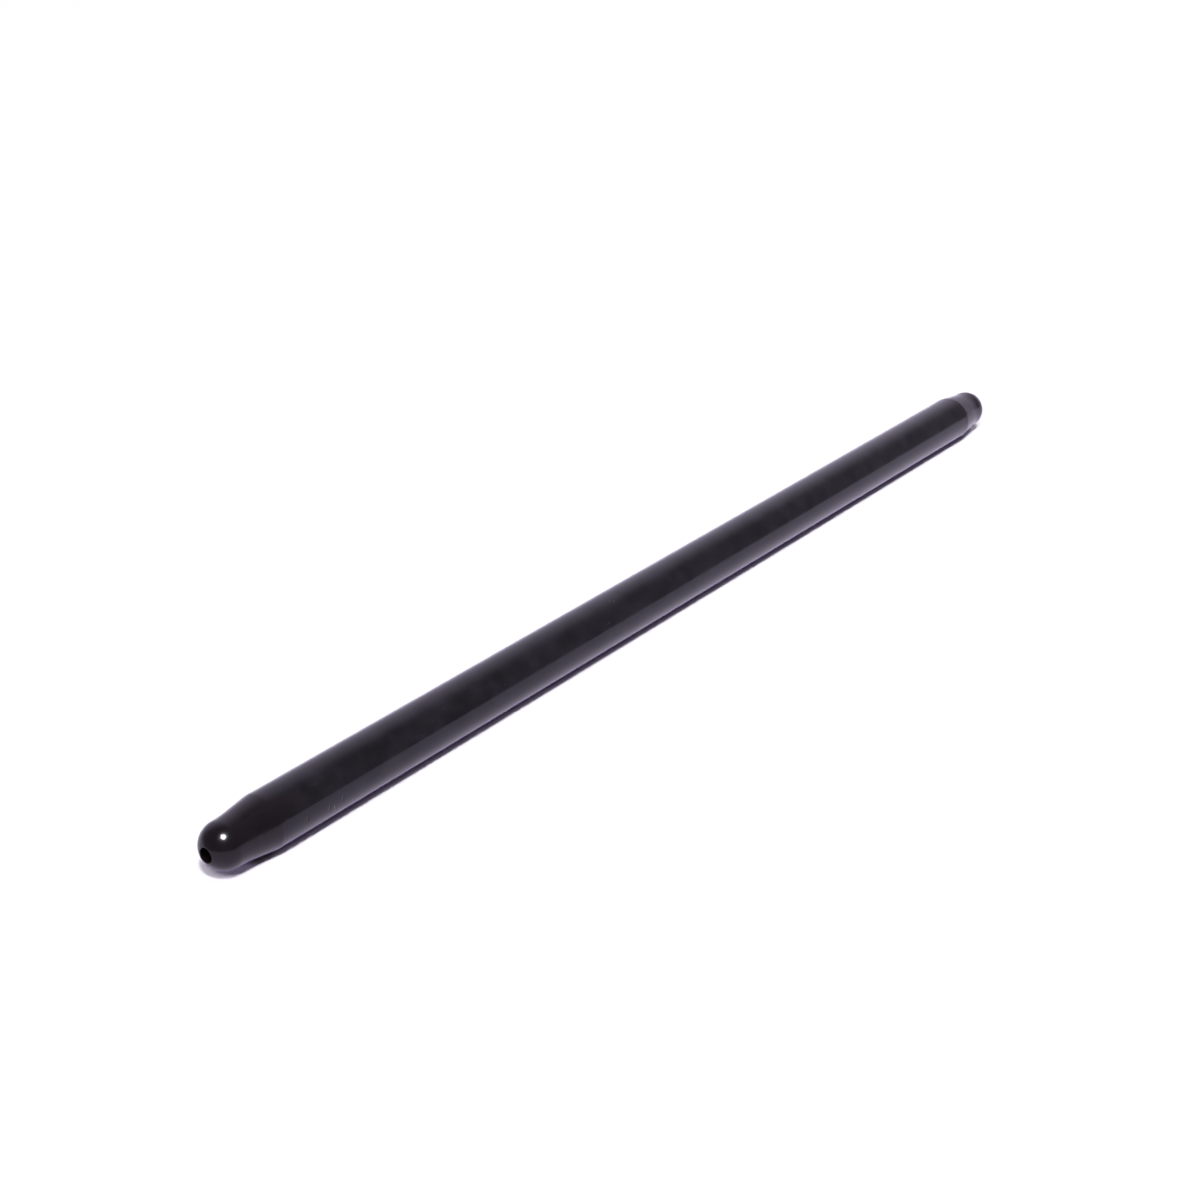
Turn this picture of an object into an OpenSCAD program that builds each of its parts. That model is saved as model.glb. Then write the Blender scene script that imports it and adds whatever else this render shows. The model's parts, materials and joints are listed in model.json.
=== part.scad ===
// Engine pushrod: one length of steel tube, formed at both ends into a neck and a ball,
// with an oil passage right through it.
// The rod lies along X and its middle is the origin.

/* [Tube] */
// Length over the two balls, before the oil holes cut their tips
length = 234.95; // [120:0.05:320]
// Outside diameter of the tube
tube_d = 9.525; // [8.5:0.005:14]
// Thickness of the tube's wall
wall = 2.032; // [1:0.002:3]

/* [Formed ends] */
// Diameter of the ball on each end
ball_d = 7.94; // [6:0.01:9]
// Radius of the hollow curve from the ball into the taper
neck_curve_r = 22; // [10:0.5:40]
// Angle between the taper and the rod's axis
taper_angle = 7.75; // [5:0.25:13]

/* [Oil passage] */
// Diameter of the oil hole through each ball
hole_d = 2.4; // [1.2:0.05:3.4]
// Width of the broken edge round each oil hole's mouth
hole_edge = 0.15; // [0.05:0.01:0.4]

/* [Hidden] */
$fn = 128;
black_steel = [0.13, 0.13, 0.15];

half_length = length / 2;
tube_r = tube_d / 2;
bore_r = tube_r - wall;
ball_r = ball_d / 2;
hole_r = hole_d / 2;

// Places along the axis, measured from the middle of the rod
ball_z = half_length - ball_r;
neck_end_z = ball_z - neck_curve_r * sin(taper_angle);
neck_end_r = ball_r + neck_curve_r * (1 - cos(taper_angle));
tube_end_z = neck_end_z - (tube_r - neck_end_r) / tan(taper_angle);
mouth_z = ball_z + sqrt(ball_r * ball_r - hole_r * hole_r);

// How far the passage's cut runs past the metal
clear = tube_d;
// How far the taper runs out past the neck's curve, so that the curve ends on it
overlap = 0.002;

// A half section from its points at one end, given from the middle of the rod outwards
// as [radius, place]: the other end mirrors them
function both_ends(points) = concat(
    [for (i = [len(points) - 1 : -1 : 0]) [points[i][0], -points[i][1]]],
    points
);

// Outside of the rod: the tube, its tapers, the necks hollowed out of them, and the balls
module outside_section() {
    difference() {
        polygon(both_ends([
            [tube_r, tube_end_z],
            [neck_end_r + overlap, neck_end_z],
            [ball_r, ball_z],
            [0, ball_z]
        ]));
        for (end = [-1, 1])
            translate([ball_r, end * ball_z])
                translate([neck_curve_r, 0]) circle(r = neck_curve_r);
    }
    for (end = [-1, 1])
        translate([0, end * ball_z]) circle(r = ball_r);
}

// What the passage takes away: the bore, its narrowing inside the tapers, the oil holes
// with their broken edges, and all that lies across the axis
module passage_section() {
    polygon(both_ends([
        [bore_r, tube_end_z],
        [hole_r, neck_end_z],
        [hole_r, mouth_z - hole_edge],
        [hole_r + hole_edge + clear, mouth_z + clear],
        [-clear, mouth_z + clear]
    ]));
}

module pushrod() {
    color(black_steel)
        rotate([0, 90, 0])
            rotate_extrude()
                difference() {
                    outside_section();
                    passage_section();
                }
}

pushrod();
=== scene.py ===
"""Looks of an engine pushrod: its blackened steel, the white table it lies on, the light and the camera.

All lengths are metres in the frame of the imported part: the rod lies along X, with its middle at the
origin and Z up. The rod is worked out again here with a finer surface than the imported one, from the
same sizes.
"""

import functools
import json
import math
from typing import NamedTuple

import bpy
import numpy as np
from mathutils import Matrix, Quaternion, Vector


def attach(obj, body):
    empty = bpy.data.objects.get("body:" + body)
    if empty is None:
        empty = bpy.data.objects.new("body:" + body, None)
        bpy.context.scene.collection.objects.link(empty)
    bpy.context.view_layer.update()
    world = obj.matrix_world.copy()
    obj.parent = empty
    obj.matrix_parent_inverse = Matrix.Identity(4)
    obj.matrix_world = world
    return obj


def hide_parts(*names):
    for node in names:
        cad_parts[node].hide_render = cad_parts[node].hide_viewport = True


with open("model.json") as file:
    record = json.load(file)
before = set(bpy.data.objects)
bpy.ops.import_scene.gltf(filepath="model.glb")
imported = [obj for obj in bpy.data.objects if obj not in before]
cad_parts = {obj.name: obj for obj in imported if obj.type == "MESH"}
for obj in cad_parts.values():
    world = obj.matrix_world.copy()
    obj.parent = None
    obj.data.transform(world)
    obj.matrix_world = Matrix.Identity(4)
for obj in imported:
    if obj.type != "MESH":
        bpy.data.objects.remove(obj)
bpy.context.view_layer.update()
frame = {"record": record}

bl_info = {
    "name": "Engine Pushrod",
    "version": (1, 0, 0),
    "blender": (4, 5, 0),
    "location": "3D View > Sidebar > Pushrod",
    "description": "Builds a black engine pushrod on a white table",
    "category": "Object",
}

MM = 0.001
MICRON = 0.000001
WHITE = (1, 1, 1)

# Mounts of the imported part, which give the rod's main sizes
MOUNTS = {mount["name"]: mount for mount in frame["record"]["mounts"]}
TUBE = MOUNTS["tube"]["dims"]
BALL_PLACE = MOUNTS["plus_x_ball"]["pos_m"][0]
HOLE = MOUNTS["plus_x_oil_hole"]["dims"]
HOLE_PLACE = MOUNTS["plus_x_oil_hole"]["pos_m"][0]

# Fineness of the rod's surface: points round the rod, and points along each stretch of half its section
AROUND = 192
STRETCHES = {
    "tube": 40,
    "shoulder": 9,
    "taper": 12,
    "neck": 24,
    "ball": 56,
    "hole": 12,
    "cone": 8,
    "bore": 12,
}
SHARP_ANGLE = math.radians(20)

# The rod's UV map, in metres: along the rod, and round the tube from Y towards Z
SKIN = "skin"

# Octaves of the noise in the clouds and in the fine grain, and the ranges of noise that are spread out
CLOUD_DETAIL = 4
GRAIN_DETAIL = 2
CLOUD_RANGE = (0.3, 0.7)
WEAR_RANGE = (0.1, 0.4)


class Mark(NamedTuple):
    """Small mark: its kind, its place along the rod in millimetres, its angle round the rod from Y
    towards Z and its turn from the rod's axis in degrees, and its length and width in millimetres"""

    kind: str
    along: float
    angle: float
    turn: float
    length: float
    width: float


MARKS = (
    Mark("pit", along=-101.1, angle=180, turn=92, length=1.0, width=0.55),
    Mark("pit", along=-96.5, angle=184, turn=112, length=1.7, width=0.36),
    Mark("pit", along=-95.2, angle=193, turn=68, length=1.3, width=0.32),
    Mark("pit", along=-93.6, angle=181, turn=104, length=1.4, width=0.4),
    Mark("dust", along=-95.6, angle=185, turn=75, length=1.1, width=0.22),
    Mark("dust", along=-21.4, angle=112, turn=0, length=0.5, width=0.4),
    Mark("dust", along=-22.1, angle=106, turn=0, length=0.36, width=0.26),
    Mark("dust", along=-25.8, angle=148, turn=0, length=0.36, width=0.26),
    Mark("dust", along=-24.6, angle=176, turn=0, length=0.36, width=0.26),
)


class PushrodSizes(bpy.types.PropertyGroup):
    """Sizes of the tube, of one formed end and of the oil passage; the two ends are alike"""

    tube_radius: bpy.props.FloatProperty(
        name="Tube radius", description="Outside radius of the tube",
        default=TUBE["r_mm"] * MM, unit="LENGTH")
    tube_end: bpy.props.FloatProperty(
        name="Tube end",
        description="Where the tube ends and its taper starts, from the middle of the rod",
        default=TUBE["length_mm"] * MM / 2, unit="LENGTH")
    wall: bpy.props.FloatProperty(
        name="Wall", description="Thickness of the tube's wall",
        default=2.032 * MM, unit="LENGTH")
    ball_place: bpy.props.FloatProperty(
        name="Ball place", description="Centre of the ball, from the middle of the rod",
        default=BALL_PLACE, unit="LENGTH")
    ball_radius: bpy.props.FloatProperty(
        name="Ball radius", description="Radius of the ball on each end",
        default=3.97 * MM, unit="LENGTH")
    neck_radius: bpy.props.FloatProperty(
        name="Neck radius", description="Radius of the hollow curve from the ball into the taper",
        default=22 * MM, unit="LENGTH")
    shoulder_radius: bpy.props.FloatProperty(
        name="Shoulder radius",
        description="Radius that softens the edge between the taper and the tube",
        default=1.2 * MM, unit="LENGTH")
    hole_radius: bpy.props.FloatProperty(
        name="Oil hole radius", description="Radius of the oil hole through each ball",
        default=HOLE["r_mm"] * MM, unit="LENGTH")
    hole_start: bpy.props.FloatProperty(
        name="Oil hole start", description="Inner end of the oil hole, from the middle of the rod",
        default=HOLE_PLACE - HOLE["length_mm"] * MM / 2, unit="LENGTH")
    hole_end: bpy.props.FloatProperty(
        name="Oil hole end", description="Outer end of the oil hole, where its broken edge starts",
        default=HOLE_PLACE + HOLE["length_mm"] * MM / 2, unit="LENGTH")


class PushrodFinish(bpy.types.PropertyGroup):
    """Colours, gloss and small marks of the blackened steel"""

    tube_color: bpy.props.FloatVectorProperty(
        name="Tube colour", description="Black oxide on the drawn tube",
        default=(0.0068, 0.0060, 0.0076), subtype="COLOR", min=0, max=1)
    end_color: bpy.props.FloatVectorProperty(
        name="End colour", description="Warmer black where the ends were heated and formed",
        default=(0.0034, 0.0017, 0.0019), subtype="COLOR", min=0, max=1)
    pit_color: bpy.props.FloatVectorProperty(
        name="Pit colour", description="Brown in the pits and scratches",
        default=(0.0075, 0.0035, 0.0028), subtype="COLOR", min=0, max=1)
    dust_color: bpy.props.FloatVectorProperty(
        name="Dust colour", description="Grey specks of dust",
        default=(0.055, 0.055, 0.058), subtype="COLOR", min=0, max=1)
    gloss_tint: bpy.props.FloatVectorProperty(
        name="Gloss tint", description="Tint that the oxide film gives to reflections",
        default=(0.97, 0.94, 1.0), subtype="COLOR", min=0, max=1)
    ior: bpy.props.FloatProperty(
        name="Refraction", description="Refractive index of the oiled oxide", default=1.36)
    bright_roughness: bpy.props.FloatProperty(
        name="Bright roughness", description="Roughness where the oxide is smoothest",
        default=0.10, min=0, max=1, subtype="FACTOR")
    dull_roughness: bpy.props.FloatProperty(
        name="Dull roughness", description="Roughness where the oxide is dullest",
        default=0.18, min=0, max=1, subtype="FACTOR")
    end_roughness: bpy.props.FloatProperty(
        name="End roughness", description="Roughness added on the formed ends",
        default=0.06, min=0, max=1, subtype="FACTOR")
    pit_roughness: bpy.props.FloatProperty(
        name="Pit roughness", description="Roughness in the pits and scratches",
        default=0.24, min=0, max=1, subtype="FACTOR")
    pit_metal: bpy.props.FloatProperty(
        name="Pit metal", description="How far the pits and scratches go through to dark metal",
        default=0.6, min=0, max=1, subtype="FACTOR")
    cloud_size: bpy.props.FloatProperty(
        name="Cloud size", description="Size of the clouds in the oxide", default=4 * MM, unit="LENGTH")
    cloud_depth: bpy.props.FloatProperty(
        name="Cloud depth", description="How much the clouds lighten and darken the colour",
        default=0.5, min=0, max=1, subtype="FACTOR")
    end_fray: bpy.props.FloatProperty(
        name="End fray", description="How far the clouds draw the ends' colour along the tube",
        default=12 * MM, unit="LENGTH")
    line_width: bpy.props.FloatProperty(
        name="Line width", description="Width of the drawing lines along the tube",
        default=0.25 * MM, unit="LENGTH")
    line_length: bpy.props.FloatProperty(
        name="Line length", description="Length of the drawing lines along the tube",
        default=40 * MM, unit="LENGTH")
    ring_width: bpy.props.FloatProperty(
        name="Ring width", description="Width of the forming rings round the ends",
        default=0.35 * MM, unit="LENGTH")
    line_depth: bpy.props.FloatProperty(
        name="Line depth", description="Depth of the drawing lines and of the forming rings",
        default=1.5 * MICRON, unit="LENGTH")
    mark_core: bpy.props.FloatProperty(
        name="Mark core", description="Share of a mark's size that is its flat middle",
        default=0.3, min=0, max=1, subtype="FACTOR")
    pit_depth: bpy.props.FloatProperty(
        name="Pit depth", description="Depth of the pits and scratches",
        default=40 * MICRON, unit="LENGTH")
    speck_spacing: bpy.props.FloatProperty(
        name="Speck spacing", description="Distance between the places where a speck of dust may lie",
        default=7 * MM, unit="LENGTH")
    speck_size: bpy.props.FloatProperty(
        name="Speck size", description="Size of the specks of dust", default=0.24 * MM, unit="LENGTH")
    speck_share: bpy.props.FloatProperty(
        name="Speck share", description="Share of those places that hold a speck",
        default=0.4, min=0, max=1, subtype="FACTOR")


class PushrodStage(bpy.types.PropertyGroup):
    """Table, light and camera"""

    table_color: bpy.props.FloatVectorProperty(
        name="Table colour", description="White card that the rod lies on",
        default=(0.92, 0.92, 0.92), subtype="COLOR", min=0, max=1)
    table_roughness: bpy.props.FloatProperty(
        name="Table roughness", description="Roughness of the card",
        default=0.9, min=0, max=1, subtype="FACTOR")
    table_gloss: bpy.props.FloatProperty(
        name="Table gloss", description="Level of the card's gloss",
        default=0.1, min=0, max=1, subtype="FACTOR")
    # Painted light: the card's own glow, seen only directly and in gloss, which lifts its shadows as stray
    # light would
    table_glow: bpy.props.FloatVectorProperty(
        name="Table glow", description="Stray light that lifts the card's shadows",
        default=(0.080, 0.068, 0.106), subtype="COLOR", min=0, max=1)
    # Painted reflection: glow that the card shows only in gloss, which brightens and tints its image in
    # the black rod
    mirrored_glow: bpy.props.FloatVectorProperty(
        name="Mirrored glow",
        description="Lilac light that the card adds where the black gloss shows it",
        default=(0.18, 0.10, 0.38), subtype="COLOR", min=0, max=1)
    mirrored_color: bpy.props.FloatVectorProperty(
        name="Mirrored colour",
        description="Lilac white of the backdrop where the black gloss shows it",
        default=(1.05, 0.97, 1.24), subtype="COLOR", min=0, soft_max=1)
    # Painted contact shade: the foot line and the two distances below set where the card's glow is kept
    # off along the rod's foot
    foot_end: bpy.props.FloatProperty(
        name="Foot end",
        description="End of the line along which the rod rests, from the middle of the rod",
        default=108 * MM, unit="LENGTH")
    glow_start: bpy.props.FloatProperty(
        name="Glow start",
        description="Distance from the rod's foot within which the rod keeps all the glow off",
        default=1.65 * MM, unit="LENGTH")
    glow_end: bpy.props.FloatProperty(
        name="Glow end",
        description="Distance from the rod's foot beyond which all the glow is left",
        default=3.2 * MM, unit="LENGTH")
    table_size: bpy.props.FloatProperty(
        name="Table size", description="Side of the square table", default=40, unit="LENGTH")
    key_strength: bpy.props.FloatProperty(
        name="Key strength", description="Light of the key lamp on a surface that faces it",
        default=2.3)
    key_azimuth: bpy.props.FloatProperty(
        name="Key azimuth", description="Direction of the key lamp round Z, from X",
        default=math.radians(230), subtype="ANGLE")
    key_elevation: bpy.props.FloatProperty(
        name="Key elevation", description="Height of the key lamp over the table",
        default=math.radians(60), subtype="ANGLE")
    key_size: bpy.props.FloatProperty(
        name="Key size", description="Angle that the key lamp fills, seen from the rod",
        default=math.radians(8), subtype="ANGLE")
    fill_strength: bpy.props.FloatProperty(
        name="Fill strength", description="Light of the long fill lamp on a surface that faces it",
        default=1.64)
    fill_color: bpy.props.FloatVectorProperty(
        name="Fill colour", description="Colour of the fill lamp",
        default=(0.96, 0.89, 1.0), subtype="COLOR", min=0, max=1)
    fill_azimuth: bpy.props.FloatProperty(
        name="Fill azimuth", description="Direction of the fill lamp round Z, from X",
        default=math.radians(206), subtype="ANGLE")
    fill_elevation: bpy.props.FloatProperty(
        name="Fill elevation", description="Height of the fill lamp over the table",
        default=math.radians(48), subtype="ANGLE")
    fill_length: bpy.props.FloatProperty(
        name="Fill length", description="Angle that the fill lamp fills lengthways, seen from the rod",
        default=math.radians(26), subtype="ANGLE")
    fill_width: bpy.props.FloatProperty(
        name="Fill width", description="Angle that the fill lamp fills crossways, seen from the rod",
        default=math.radians(8), subtype="ANGLE")
    fill_roll: bpy.props.FloatProperty(
        name="Fill roll", description="Turn of the fill lamp's length from level",
        default=math.radians(42), subtype="ANGLE")
    far_strength: bpy.props.FloatProperty(
        name="Far strength", description="Light of the lamp off the far end on a surface that faces it",
        default=0.5)
    far_azimuth: bpy.props.FloatProperty(
        name="Far azimuth", description="Direction of the far lamp round Z, from X",
        default=math.radians(345), subtype="ANGLE")
    far_elevation: bpy.props.FloatProperty(
        name="Far elevation", description="Height of the far lamp over the table",
        default=math.radians(50), subtype="ANGLE")
    far_size: bpy.props.FloatProperty(
        name="Far size", description="Angle that the far lamp fills, seen from the rod",
        default=math.radians(20), subtype="ANGLE")
    bulb_strength: bpy.props.FloatProperty(
        name="Bulb strength", description="Light of the bare bulb that shows as a gleam on a ball",
        default=10)
    bulb_azimuth: bpy.props.FloatProperty(
        name="Bulb azimuth", description="Direction of the bare bulb round Z, from X",
        default=math.radians(223.7), subtype="ANGLE")
    bulb_elevation: bpy.props.FloatProperty(
        name="Bulb elevation", description="Height of the bare bulb over the table",
        default=math.radians(65), subtype="ANGLE")
    bulb_size: bpy.props.FloatProperty(
        name="Bulb size", description="Angle that the bare bulb fills, seen from the rod",
        default=math.radians(18), subtype="ANGLE")
    lamp_distance: bpy.props.FloatProperty(
        name="Lamp distance", description="Distance of the lamps from the rod",
        default=10, unit="LENGTH")
    backdrop_azimuth: bpy.props.FloatProperty(
        name="Backdrop azimuth", description="Direction of the backdrop's middle round Z, from X",
        default=math.radians(48.6), subtype="ANGLE")
    backdrop_elevation: bpy.props.FloatProperty(
        name="Backdrop elevation", description="Height of the backdrop's middle over the table",
        default=math.radians(15), subtype="ANGLE")
    backdrop_inner: bpy.props.FloatProperty(
        name="Backdrop inner angle",
        description="Angle from its middle within which the backdrop is white",
        default=math.radians(18), subtype="ANGLE")
    backdrop_outer: bpy.props.FloatProperty(
        name="Backdrop outer angle",
        description="Angle from its middle at which the backdrop has faded out",
        default=math.radians(62), subtype="ANGLE")
    screen_azimuth: bpy.props.FloatProperty(
        name="Screen azimuth", description="Direction of the screen's middle round Z, from X",
        default=math.radians(0), subtype="ANGLE")
    screen_elevation: bpy.props.FloatProperty(
        name="Screen elevation", description="Height of the screen's middle over the table",
        default=math.radians(6), subtype="ANGLE")
    screen_inner: bpy.props.FloatProperty(
        name="Screen inner angle", description="Angle from its middle within which the screen is white",
        default=math.radians(15), subtype="ANGLE")
    screen_outer: bpy.props.FloatProperty(
        name="Screen outer angle", description="Angle from its middle at which the screen has faded out",
        default=math.radians(27), subtype="ANGLE")
    horizon_tilt: bpy.props.FloatProperty(
        name="Horizon tilt",
        description="Slope of the pale band over the horizon, up towards the backdrop",
        default=0.23)
    horizon_fade: bpy.props.FloatProperty(
        name="Horizon fade", description="Height over which the pale band fades", default=0.12)
    room_color: bpy.props.FloatVectorProperty(
        name="Room colour", description="Dim room round the table",
        default=(0.37, 0.345, 0.44), subtype="COLOR", min=0, max=1)
    room_share: bpy.props.FloatProperty(
        name="Room share", description="Share of the surroundings' light that reaches rough surfaces",
        default=0.06, min=0, max=1, subtype="FACTOR")
    camera_place: bpy.props.FloatVectorProperty(
        name="Camera place", description="Where the camera stands",
        default=(-0.271459, -0.192000, 0.160016), subtype="XYZ", unit="LENGTH")
    camera_heading: bpy.props.FloatProperty(
        name="Camera heading", description="Direction of view round Z, from X",
        default=math.radians(37.7216), subtype="ANGLE")
    camera_pitch: bpy.props.FloatProperty(
        name="Camera pitch", description="How far the camera looks down",
        default=math.radians(26.3167), subtype="ANGLE")
    nearest_view: bpy.props.FloatProperty(
        name="Nearest view", description="Distance from the camera at which things start to show",
        default=10 * MM, unit="LENGTH")
    sensor: bpy.props.FloatProperty(
        name="Sensor", description="Width of the camera's sensor in millimetres", default=36)
    lens: bpy.props.FloatProperty(
        name="Lens", description="Focal length of the camera in millimetres", default=58.767)


def add(tree, kind, inputs=None, **settings):
    """Adds a node, gives it its settings, and sets or links its inputs, which go by identifier or name."""
    made = tree.nodes.new(kind)
    for key, value in settings.items():
        setattr(made, key, value)
    sockets = {socket.name: socket for socket in made.inputs}
    sockets.update({socket.identifier: socket for socket in made.inputs})
    for key, value in (inputs or {}).items():
        if isinstance(value, bpy.types.NodeSocket):
            tree.links.new(value, sockets[key])
        else:
            sockets[key].default_value = value
    return made


def combine(tree, operation, first, second):
    """Two values, or a value and a number, taken together."""
    made = add(tree, "ShaderNodeMath", {"Value": first, "Value_001": second}, operation=operation)
    return made.outputs["Value"]


def highest(tree, values):
    """Greatest of several values."""
    return functools.reduce(functools.partial(combine, tree, "MAXIMUM"), values)


def remap(tree, value, start, end, low=0, high=1):
    """Smooth step from low to high while a value goes from start to end."""
    made = add(tree, "ShaderNodeMapRange", {
        "Value": value, "From Min": start, "From Max": end, "To Min": low, "To Max": high,
    }, interpolation_type="SMOOTHSTEP")
    return made.outputs["Result"]


def blend(tree, share, under, over, mode="MIX"):
    """Colour over another, by a share."""
    made = add(tree, "ShaderNodeMix", {
        "Factor_Float": share, "A_Color": under, "B_Color": over,
    }, data_type="RGBA", blend_type=mode)
    return next(socket for socket in made.outputs if socket.identifier == "Result_Color")


def stretched(tree, place, *grain):
    """Place measured in grains, which may have their own size along each axis."""
    scale = tuple(1 / size for size in grain)
    made = add(tree, "ShaderNodeVectorMath", {
        "Vector": place, "Vector_001": scale,
    }, operation="MULTIPLY")
    return made.outputs["Vector"]


def noise(tree, place, detail):
    """Noise with grains of size 1."""
    made = add(tree, "ShaderNodeTexNoise", {"Vector": place, "Scale": 1, "Detail": detail})
    return made.outputs["Fac"]


def seen_directly(tree):
    """1 for rays from the camera and for those it sees in gloss or through glass, 0 for stray light."""
    rays = add(tree, "ShaderNodeLightPath").outputs
    return highest(tree, [rays["Is Camera Ray"], rays["Is Glossy Ray"], rays["Is Transmission Ray"]])


def absolute(tree, value):
    """Size of a value without its sign."""
    return add(tree, "ShaderNodeMath", {"Value": value}, operation="ABSOLUTE").outputs["Value"]


def opaque(color):
    """Colour with full alpha."""
    return (*color, 1)


def direction(azimuth, elevation):
    """Unit vector at an azimuth round Z from X and an elevation over the horizon."""
    flat = math.cos(elevation)
    return Vector((flat * math.cos(azimuth), flat * math.sin(azimuth), math.sin(elevation)))


def line(start, end, count):
    """Points on a straight line, p = start + t (end - start), t from 0 up to but not at 1."""
    t = np.linspace(0, 1, count, endpoint=False)[:, None]
    return np.array(start) + t * (np.array(end) - np.array(start))


def arc(centre, radius, first, last, count):
    """Points on a circle, p = centre + radius (cos a, sin a), a from first up to but not at last."""
    a = np.linspace(first, last, count, endpoint=False)[:, None]
    return np.array(centre) + radius * np.hstack([np.cos(a), np.sin(a)])


def end_profile(sizes):
    """Half of the rod's section as (x, radius) points, from the middle of the rod out along the outside,
    round the ball, into the oil hole and back along the passage.

    The taper is the straight line from the tube's end that just touches the neck's hollow circle. An arc
    of the shoulder radius touches both the tube and the taper. The hole's broken edge is a line at 45
    degrees from the end of the hole to the ball.
    """
    quarter = math.pi / 2
    tube_end = np.array([sizes.tube_end, sizes.tube_radius])
    neck_centre = np.array([sizes.ball_place, sizes.ball_radius + sizes.neck_radius])
    reach = neck_centre - tube_end
    taper = math.asin(sizes.neck_radius / np.hypot(*reach)) - math.atan2(reach[1], reach[0])
    setback = sizes.shoulder_radius * math.tan(taper / 2)
    shoulder_centre = tube_end - [setback, sizes.shoulder_radius]
    outwards = np.array([math.sin(taper), math.cos(taper)])
    taper_start = shoulder_centre + sizes.shoulder_radius * outwards
    taper_end = neck_centre - sizes.neck_radius * outwards

    edge_offset = sizes.hole_end - sizes.hole_radius - sizes.ball_place
    mouth_radius = (math.sqrt(2 * sizes.ball_radius ** 2 - edge_offset ** 2) - edge_offset) / 2
    mouth_angle = math.asin(mouth_radius / sizes.ball_radius)
    mouth = [sizes.ball_place + sizes.ball_radius * math.cos(mouth_angle), mouth_radius]
    hole_end = [sizes.hole_end, sizes.hole_radius]
    hole_start = [sizes.hole_start, sizes.hole_radius]
    bore_end = [sizes.tube_end, sizes.tube_radius - sizes.wall]
    bore_middle = [0, sizes.tube_radius - sizes.wall]

    return np.vstack([
        line([0, sizes.tube_radius], tube_end - [setback, 0], STRETCHES["tube"]),
        arc(shoulder_centre, sizes.shoulder_radius, quarter, quarter - taper, STRETCHES["shoulder"]),
        line(taper_start, taper_end, STRETCHES["taper"]),
        arc(neck_centre, sizes.neck_radius, -quarter - taper, -quarter, STRETCHES["neck"]),
        arc([sizes.ball_place, 0], sizes.ball_radius, quarter, mouth_angle, STRETCHES["ball"]),
        [mouth],
        line(hole_end, hole_start, STRETCHES["hole"]),
        line(hole_start, bore_end, STRETCHES["cone"]),
        line(bore_end, bore_middle, STRETCHES["bore"]),
        [bore_middle],
    ])


def lathe(name, profile, skin_radius):
    """Closed surface of a closed profile turned round X.

    Point (i, j) of the grid is x = x_i, y = r_i cos(a_j), z = r_i sin(a_j), with a_j = 2 pi j / AROUND.
    Both parameters close on themselves, so the surface has no seam and no pole. Its UV map is u = x_i and
    v = skin radius times a_j.
    """
    a = np.arange(AROUND + 1) * (2 * math.pi / AROUND)
    x, radius = profile[:, :1], profile[:, 1:]
    points = np.stack([x + 0 * a, radius * np.cos(a), radius * np.sin(a)], axis=-1)[:, :-1]
    index = np.arange(len(profile) * AROUND).reshape(len(profile), AROUND)
    ahead = np.roll(index, -1, axis=0)
    faces = np.stack([index, np.roll(index, -1, axis=1), np.roll(ahead, -1, axis=1), ahead], axis=-1)
    skin = np.stack(np.broadcast_arrays(x, skin_radius * a), axis=-1)
    skin_ahead = np.stack(np.broadcast_arrays(np.roll(x, -1), skin_radius * a), axis=-1)
    corners = np.stack([skin[:, :-1], skin[:, 1:], skin_ahead[:, 1:], skin_ahead[:, :-1]], axis=2)
    mesh = bpy.data.meshes.new(name)
    mesh.from_pydata(points.reshape(-1, 3), [], faces.reshape(-1, 4))
    mesh.uv_layers.new(name=SKIN).uv.foreach_set("vector", corners.ravel())
    mesh.polygons.foreach_set("use_smooth", np.ones(len(mesh.polygons), dtype=bool))
    mesh.set_sharp_from_angle(angle=SHARP_ANGLE)
    mesh.validate()
    made = bpy.data.objects.new(name, mesh)
    bpy.context.scene.collection.objects.link(made)
    return made


def mark_group(core):
    """Node group that masks one oval mark on the rod's skin: 1 in its core, fading to 0 at its edge."""
    group = bpy.data.node_groups.new("surface_mark", "ShaderNodeTree")
    for name in ("Skin", "Place", "Turn", "Half Size"):
        group.interface.new_socket(name, in_out="INPUT", socket_type="NodeSocketVector")
    group.interface.new_socket("Mask", in_out="OUTPUT", socket_type="NodeSocketFloat")
    given = add(group, "NodeGroupInput").outputs
    local = add(group, "ShaderNodeMapping", {
        "Vector": given["Skin"],
        "Location": given["Place"],
        "Rotation": given["Turn"],
        "Scale": given["Half Size"],
    }, vector_type="TEXTURE")
    reach = add(group, "ShaderNodeVectorMath", {"Vector": local.outputs["Vector"]}, operation="LENGTH")
    add(group, "NodeGroupOutput", {"Mask": remap(group, reach.outputs["Value"], 1, core)})
    return group


def marks(tree, group, skin, kind, tube_radius):
    """Mask of all the marks of one kind."""
    masks = []
    for mark in MARKS:
        if mark.kind == kind:
            made = add(tree, "ShaderNodeGroup", {
                "Skin": skin,
                "Place": (mark.along * MM, tube_radius * math.radians(mark.angle), 0),
                "Turn": (0, 0, math.radians(mark.turn)),
                "Half Size": (mark.length * MM / 2, mark.width * MM / 2, 1),
            }, node_tree=group)
            masks.append(made.outputs["Mask"])
    return highest(tree, masks)


def specks(tree, skin, finish):
    """Mask of specks of dust, strewn at random over the rod's skin."""
    cells = add(tree, "ShaderNodeTexVoronoi", {
        "Vector": stretched(tree, skin, *[finish.speck_spacing] * 3), "Scale": 1,
    }, voronoi_dimensions="2D").outputs
    spot = remap(tree, cells["Distance"], finish.speck_size / finish.speck_spacing / 2, 0)
    chance = add(tree, "ShaderNodeSeparateColor", {"Color": cells["Color"]}).outputs["Red"]
    return combine(tree, "MULTIPLY", spot, combine(tree, "LESS_THAN", chance, finish.speck_share))


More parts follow.
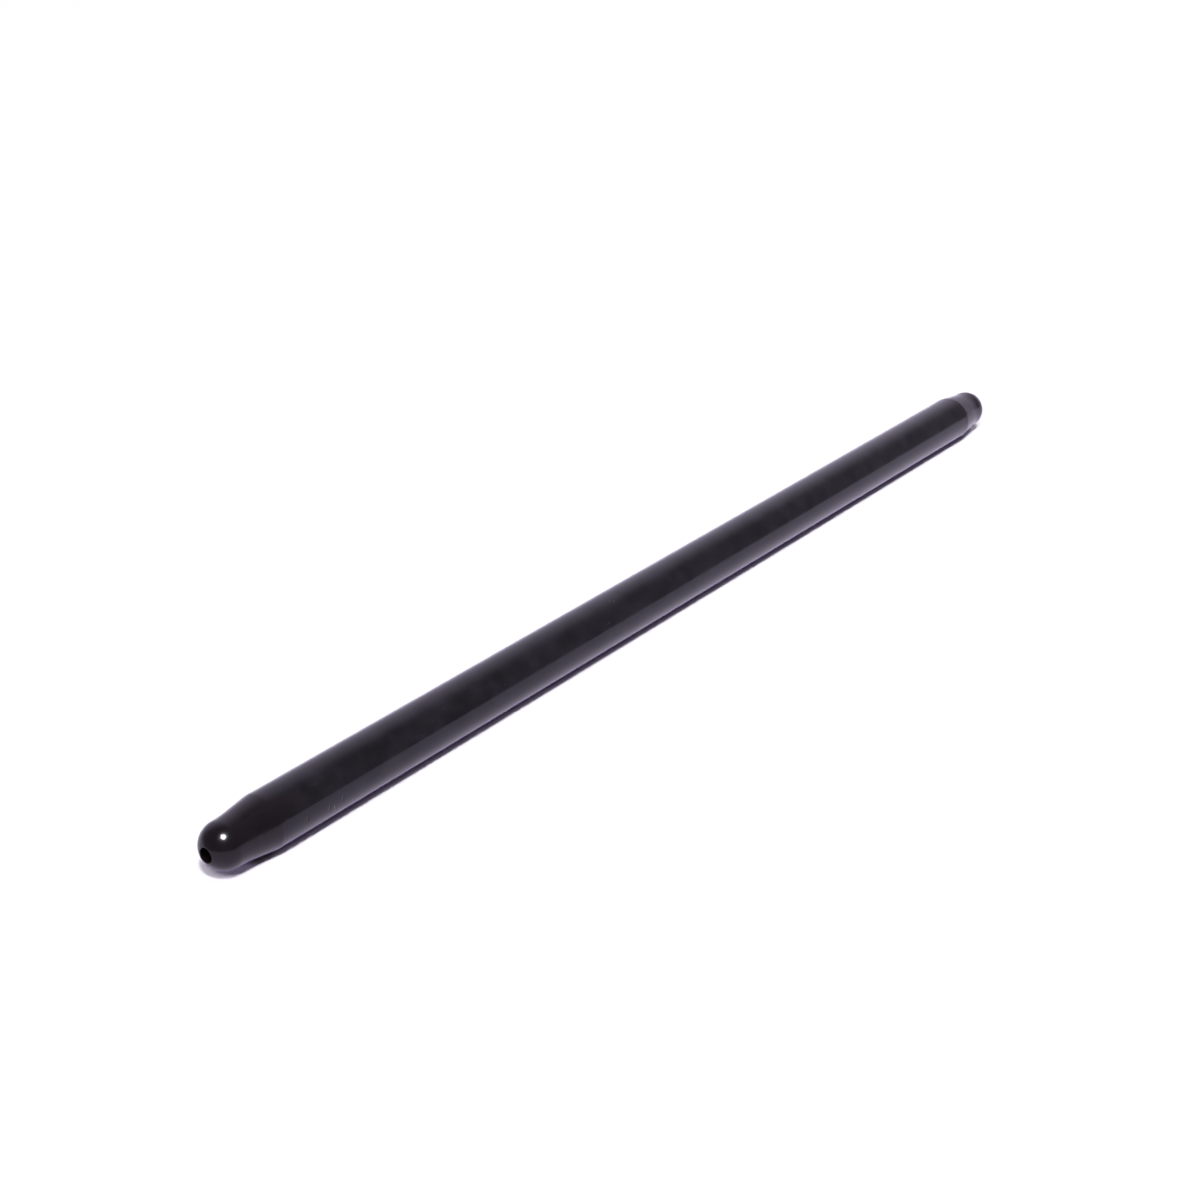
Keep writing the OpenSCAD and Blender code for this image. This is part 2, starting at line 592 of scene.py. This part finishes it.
def black_steel(sizes, finish):
    """Oil sealed black oxide: a cloudy, nearly black body under a tinted gloss, with fine drawing lines
    along the tube, forming rings and a warmer black on the ends, a few pits and scratches, and dust."""
    material = bpy.data.materials.new("black_steel")
    material.use_nodes = True
    tree = material.node_tree
    shader = tree.nodes["Principled BSDF"]
    place = add(tree, "ShaderNodeTexCoord").outputs["Object"]
    skin = add(tree, "ShaderNodeUVMap", uv_map=SKIN).outputs["UV"]
    from_middle = absolute(tree, add(tree, "ShaderNodeSeparateXYZ", {"Vector": place}).outputs["X"])

    long_grain = (finish.line_length, finish.line_width, finish.line_width)
    round_grain = (finish.ring_width, finish.line_length, finish.line_length)
    clouds = noise(tree, stretched(tree, place, *[finish.cloud_size] * 3), CLOUD_DETAIL)
    lines = noise(tree, stretched(tree, skin, *long_grain), GRAIN_DETAIL)
    rings = noise(tree, stretched(tree, skin, *round_grain), GRAIN_DETAIL)
    group = mark_group(finish.mark_core)
    pits = marks(tree, group, skin, "pit", sizes.tube_radius)
    placed_dust = marks(tree, group, skin, "dust", sizes.tube_radius)
    dust = highest(tree, [placed_dust, specks(tree, skin, finish)])

    frayed = combine(tree, "ADD", from_middle, combine(tree, "MULTIPLY", clouds, finish.end_fray))
    ends = remap(tree, frayed, sizes.tube_end, sizes.ball_place)
    color = blend(tree, ends, opaque(finish.tube_color), opaque(finish.end_color))
    shade = remap(tree, clouds, *CLOUD_RANGE, 1 - finish.cloud_depth, 1 + finish.cloud_depth)
    color = blend(tree, 1, color, shade, mode="MULTIPLY")
    color = blend(tree, pits, color, opaque(finish.pit_color))
    color = blend(tree, dust, color, opaque(finish.dust_color))
    tree.links.new(color, shader.inputs["Base Color"])
    tree.links.new(combine(tree, "MULTIPLY", pits, finish.pit_metal), shader.inputs["Metallic"])

    wear = combine(tree, "MULTIPLY", clouds, lines)
    roughness = remap(tree, wear, *WEAR_RANGE, finish.bright_roughness, finish.dull_roughness)
    roughness = combine(tree, "ADD", roughness, combine(tree, "MULTIPLY", ends, finish.end_roughness))
    pit_roughness = combine(tree, "MULTIPLY", pits, finish.pit_roughness)
    tree.links.new(combine(tree, "MAXIMUM", roughness, pit_roughness), shader.inputs["Roughness"])

    first_ring = sizes.tube_end - finish.ring_width
    formed = remap(tree, from_middle, first_ring, sizes.tube_end + finish.ring_width)
    grain = add(tree, "ShaderNodeMix", {"Factor_Float": formed, "A_Float": lines, "B_Float": rings})
    height = combine(tree, "MULTIPLY", grain.outputs["Result"], finish.line_depth)
    height = combine(tree, "SUBTRACT", height, combine(tree, "MULTIPLY", pits, finish.pit_depth))
    bump = add(tree, "ShaderNodeBump", {"Height": height, "Distance": 1, "Strength": 1})
    tree.links.new(bump.outputs["Normal"], shader.inputs["Normal"])

    shader.inputs["IOR"].default_value = finish.ior
    shader.inputs["Specular Tint"].default_value = opaque(finish.gloss_tint)
    return material


def table_card(stage):
    """White card with a painted glow, seen only directly and in gloss, which lifts its shadows a little as
    stray light would; the glow is kept off close to the rod's foot, which paints a contact shade there.
    """
    material = bpy.data.materials.new("table_card")
    material.use_nodes = True
    tree = material.node_tree
    shader = tree.nodes["Principled BSDF"]
    shader.inputs["Base Color"].default_value = opaque(stage.table_color)
    shader.inputs["Roughness"].default_value = stage.table_roughness
    shader.inputs["Specular IOR Level"].default_value = stage.table_gloss
    # Painted light: the card glows in the table glow colour, and in gloss in the mirrored glow colour
    mirrored = add(tree, "ShaderNodeLightPath").outputs["Is Glossy Ray"]
    glow = blend(tree, mirrored, opaque(stage.table_glow), opaque(stage.mirrored_glow))
    tree.links.new(glow, shader.inputs["Emission Color"])

    # Painted contact shade: the glow fades out towards the line the rod rests on, off within glow start
    # and full beyond glow end
    place = add(tree, "ShaderNodeNewGeometry").outputs["Position"]
    along, across, _ = add(tree, "ShaderNodeSeparateXYZ", {"Vector": place}).outputs
    past_foot = combine(tree, "SUBTRACT", absolute(tree, along), stage.foot_end)
    past_foot = combine(tree, "MAXIMUM", past_foot, 0)
    from_foot = add(tree, "ShaderNodeCombineXYZ", {"X": past_foot, "Y": across}).outputs["Vector"]
    away = add(tree, "ShaderNodeVectorMath", {"Vector": from_foot}, operation="LENGTH").outputs["Value"]
    left = remap(tree, away, stage.glow_start, stage.glow_end)
    strength = combine(tree, "MULTIPLY", seen_directly(tree), left)
    tree.links.new(strength, shader.inputs["Emission Strength"])
    return material


def make_table(stage, sizes):
    """Flat square at the height of the tube's lowest line."""
    half = stage.table_size / 2
    height = -sizes.tube_radius
    corners = [
        (-half, -half, height),
        (half, -half, height),
        (half, half, height),
        (-half, half, height),
    ]
    mesh = bpy.data.meshes.new("table")
    mesh.from_pydata(corners, [], [(0, 1, 2, 3)])
    mesh.materials.append(table_card(stage))
    table = bpy.data.objects.new("table", mesh)
    bpy.context.scene.collection.objects.link(table)


def lobe(tree, ray, azimuth, elevation, inner, outer):
    """1 within an inner angle of a direction, fading to 0 at an outer angle from it."""
    made = add(tree, "ShaderNodeVectorMath", {
        "Vector": ray, "Vector_001": direction(azimuth, elevation),
    }, operation="DOT_PRODUCT")
    return remap(tree, made.outputs["Value"], math.cos(outer), math.cos(inner))


def make_world(stage):
    """Surroundings: a pale backdrop and a smaller pale screen off the far end, which fade out round
    their middles, a pale band that slopes along the horizon, and a dim room elsewhere. They show in gloss;
    the camera itself sees white."""
    world = bpy.data.worlds.new("studio")
    bpy.context.scene.world = world
    world.use_nodes = True
    tree = world.node_tree
    background = tree.nodes["Background"]
    ray = add(tree, "ShaderNodeTexCoord").outputs["Generated"]
    backdrop = lobe(tree, ray, stage.backdrop_azimuth, stage.backdrop_elevation,
                    stage.backdrop_inner, stage.backdrop_outer)
    screen = lobe(tree, ray, stage.screen_azimuth, stage.screen_elevation,
                  stage.screen_inner, stage.screen_outer)
    upright = Vector((0, 0, 1)) - stage.horizon_tilt * direction(stage.backdrop_azimuth, 0)
    height = add(tree, "ShaderNodeVectorMath", {
        "Vector": ray, "Vector_001": upright,
    }, operation="DOT_PRODUCT")
    band = remap(tree, height.outputs["Value"], stage.horizon_fade / 2, -stage.horizon_fade / 2)
    rays = add(tree, "ShaderNodeLightPath").outputs
    pale = highest(tree, [backdrop, screen, band, rays["Is Camera Ray"]])
    pale_color = blend(tree, rays["Is Glossy Ray"], opaque(WHITE), opaque(stage.mirrored_color))
    color = blend(tree, pale, opaque(stage.room_color), pale_color)
    tree.links.new(color, background.inputs["Color"])
    strength = add(tree, "ShaderNodeMapRange", {
        "Value": seen_directly(tree), "To Min": stage.room_share, "To Max": 1,
    })
    tree.links.new(strength.outputs["Result"], background.inputs["Strength"])


def make_lamp(name, stage, strength, azimuth, elevation, length, width, roll=0):
    """Oval lamp that is far away and fills set angles, seen from the rod."""
    light = bpy.data.lights.new(name, "AREA")
    light.shape = "ELLIPSE"
    light.size = 2 * stage.lamp_distance * math.tan(length / 2)
    light.size_y = 2 * stage.lamp_distance * math.tan(width / 2)
    light.energy = strength * math.pi * stage.lamp_distance ** 2
    lamp = bpy.data.objects.new(name, light)
    outwards = direction(azimuth, elevation)
    lamp.location = stage.lamp_distance * outwards
    lamp.rotation_mode = "QUATERNION"
    lamp.rotation_quaternion = outwards.to_track_quat("Z", "Y") @ Quaternion((0, 0, 1), roll)
    lamp.visible_camera = False
    bpy.context.scene.collection.objects.link(lamp)
    return lamp


def make_lamps(stage):
    """Lamps that light the table and show in no gloss, and a bare bulb that only gloss shows."""
    key = make_lamp("key_lamp", stage, stage.key_strength, stage.key_azimuth, stage.key_elevation,
                    stage.key_size, stage.key_size)
    fill = make_lamp("fill_lamp", stage, stage.fill_strength, stage.fill_azimuth, stage.fill_elevation,
                     stage.fill_length, stage.fill_width, stage.fill_roll)
    fill.data.color = stage.fill_color
    far = make_lamp("far_lamp", stage, stage.far_strength, stage.far_azimuth, stage.far_elevation,
                    stage.far_size, stage.far_size)
    for lamp in (key, fill, far):
        lamp.visible_glossy = False
    bulb = make_lamp("bare_bulb", stage, stage.bulb_strength, stage.bulb_azimuth, stage.bulb_elevation,
                     stage.bulb_size, stage.bulb_size)
    bulb.visible_diffuse = False


def make_camera(stage):
    """Camera with no roll."""
    data = bpy.data.cameras.new("camera")
    data.sensor_width = stage.sensor
    data.lens = stage.lens
    data.clip_start = stage.nearest_view
    camera = bpy.data.objects.new("camera", data)
    camera.location = stage.camera_place
    camera.rotation_euler = (math.pi / 2 - stage.camera_pitch, 0, stage.camera_heading - math.pi / 2)
    bpy.context.scene.collection.objects.link(camera)
    bpy.context.scene.camera = camera


class PUSHROD_OT_form_rod(bpy.types.Operator):
    """Turn the rod's section into its surface and finish it in black steel"""

    bl_idname = "pushrod.form_rod"
    bl_label = "Form Rod"

    def execute(self, context):
        sizes = context.scene.pushrod_sizes
        half = end_profile(sizes)
        other_half = half[::-1] * [-1, 1]
        rod = lathe("rod", np.vstack([half[:-1], other_half[:-1]]), sizes.tube_radius)
        rod.data.materials.append(black_steel(sizes, context.scene.pushrod_finish))
        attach(rod, "root")
        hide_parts("pushrod")
        return {"FINISHED"}


class PUSHROD_OT_set_stage(bpy.types.Operator):
    """Lay the table and set up the surroundings, the lamps and the camera"""

    bl_idname = "pushrod.set_stage"
    bl_label = "Set Stage"

    def execute(self, context):
        stage = context.scene.pushrod_stage
        context.scene.view_settings.view_transform = "Standard"
        make_table(stage, context.scene.pushrod_sizes)
        make_world(stage)
        make_lamps(stage)
        make_camera(stage)
        return {"FINISHED"}


class PUSHROD_PT_panel(bpy.types.Panel):
    """Sizes, finish and stage of the pushrod, with the steps that build it"""

    bl_idname = "PUSHROD_PT_panel"
    bl_label = "Engine Pushrod"
    bl_space_type = "VIEW_3D"
    bl_region_type = "UI"
    bl_category = "Pushrod"

    def draw(self, context):
        for name, group in GROUPS.items():
            box = self.layout.box()
            for field in group.__annotations__:
                box.prop(getattr(context.scene, name), field)
        for step in STEPS:
            self.layout.operator(step.bl_idname)


STEPS = (PUSHROD_OT_set_stage, PUSHROD_OT_form_rod)
GROUPS = {
    "pushrod_sizes": PushrodSizes,
    "pushrod_finish": PushrodFinish,
    "pushrod_stage": PushrodStage,
}
CLASSES = (*GROUPS.values(), *STEPS, PUSHROD_PT_panel)


def register():
    for made in CLASSES:
        bpy.utils.register_class(made)
    for name, group in GROUPS.items():
        setattr(bpy.types.Scene, name, bpy.props.PointerProperty(type=group))


def unregister():
    for name in GROUPS:
        delattr(bpy.types.Scene, name)
    for made in reversed(CLASSES):
        bpy.utils.unregister_class(made)


def main():
    register()
    bpy.ops.pushrod.set_stage()
    bpy.ops.pushrod.form_rod()


if __name__ == "__main__":
    main()
